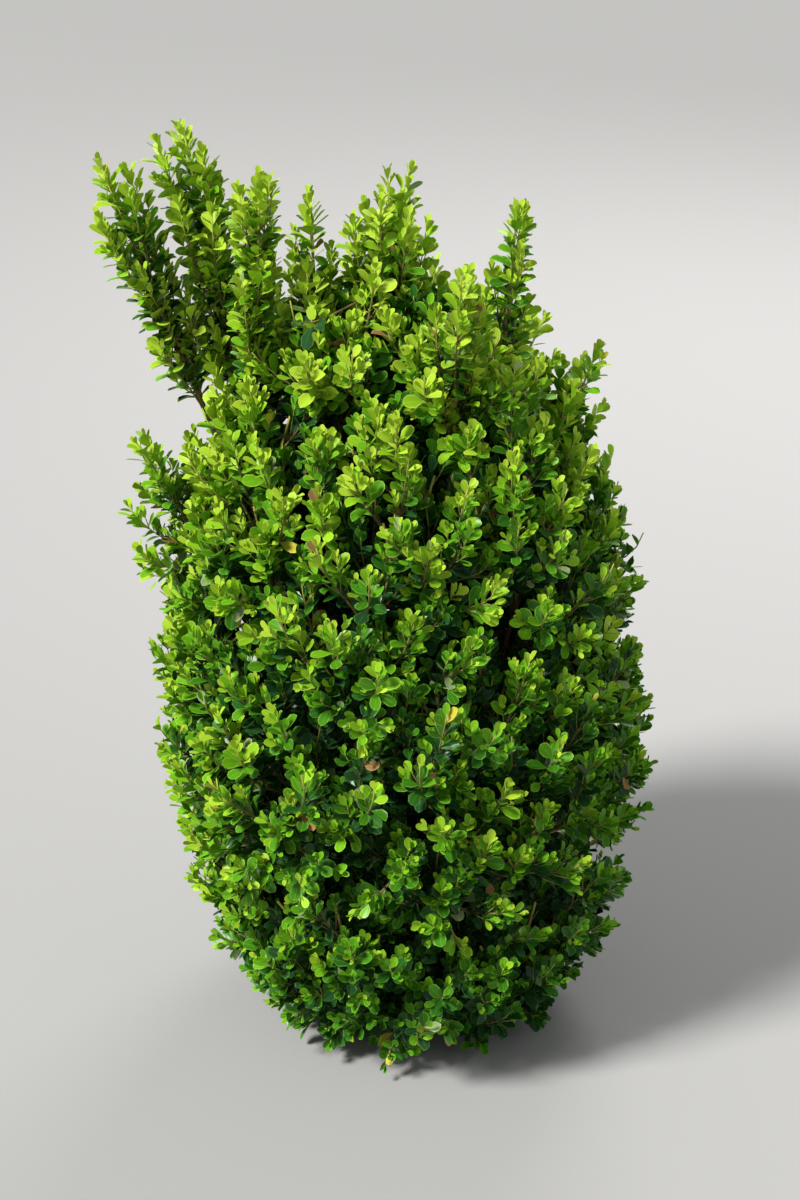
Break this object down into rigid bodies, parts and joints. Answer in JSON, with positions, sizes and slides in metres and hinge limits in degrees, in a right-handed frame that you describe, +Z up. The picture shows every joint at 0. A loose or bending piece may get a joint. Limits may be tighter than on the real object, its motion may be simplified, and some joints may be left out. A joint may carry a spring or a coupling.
{
  "type": "boxwood shrub",
  "caption": "Rooted boxwood shrub, an upright egg of small leaves grown out at the top into a leaning plume and spires, on a short forking stem cut flat at the ground.",
  "frame": {"origin": "middle of the flat cut under the main stem, at ground level", "axes": "+Z up along the shrub's height, front towards -Y, the taller plume towards -X"},
  "size_m": [0.4969, 0.4674, 0.8755],
  "materials": {
    "bark": "rough fissured bark",
    "foliage_low": "glossy leaves",
    "foliage_middle": "glossy leaves",
    "foliage_top": "soft young leaves"
  },
  "bodies": {
    "root": {"main_stem": "bark", "bough_waist_1": "bark", "bough_waist_2": "bark", "bough_waist_3": "bark", "bough_waist_4": "bark", "bough_waist_5": "bark", "bough_shoulder_1": "bark", "bough_shoulder_2": "bark", "bough_shoulder_3": "bark", "bough_shoulder_4": "bark", "bough_shoulder_5": "bark", "bough_shoulder_6": "bark", "bough_crest_1": "bark", "bough_crest_2": "bark", "bough_crest_3": "bark", "bough_crest_4": "bark", "bough_plume_left": "bark", "bough_plume_middle": "bark", "bough_plume_right": "bark", "bough_spire_left": "bark", "bough_spire_middle": "bark", "bough_spire_right": "bark", "bough_spur_right": "bark", "bough_spur_left": "bark", "bough_spur_front": "bark", "bough_spur_back": "bark", "foliage_skirt_1": "foliage_low", "foliage_skirt_2": "foliage_low", "foliage_skirt_3": "foliage_low", "foliage_skirt_4": "foliage_low", "foliage_skirt_5": "foliage_low", "foliage_waist_1": "foliage_middle", "foliage_waist_2": "foliage_middle", "foliage_waist_3": "foliage_middle", "foliage_waist_4": "foliage_middle", "foliage_waist_5": "foliage_middle", "foliage_shoulder_1": "foliage_top", "foliage_shoulder_2": "foliage_top", "foliage_shoulder_3": "foliage_top", "foliage_shoulder_4": "foliage_top", "foliage_shoulder_5": "foliage_top", "foliage_shoulder_6": "foliage_top", "foliage_crest_1": "foliage_top", "foliage_crest_2": "foliage_top", "foliage_crest_3": "foliage_top", "foliage_crest_4": "foliage_top", "foliage_plume_left": "foliage_top", "foliage_plume_middle": "foliage_top", "foliage_plume_right": "foliage_top", "foliage_spire_left": "foliage_top", "foliage_spire_middle": "foliage_top", "foliage_spire_right": "foliage_top", "foliage_spur_right": "foliage_top", "foliage_spur_left": "foliage_top", "foliage_spur_front": "foliage_top", "foliage_spur_back": "foliage_top"}
  },
  "joints": []
}
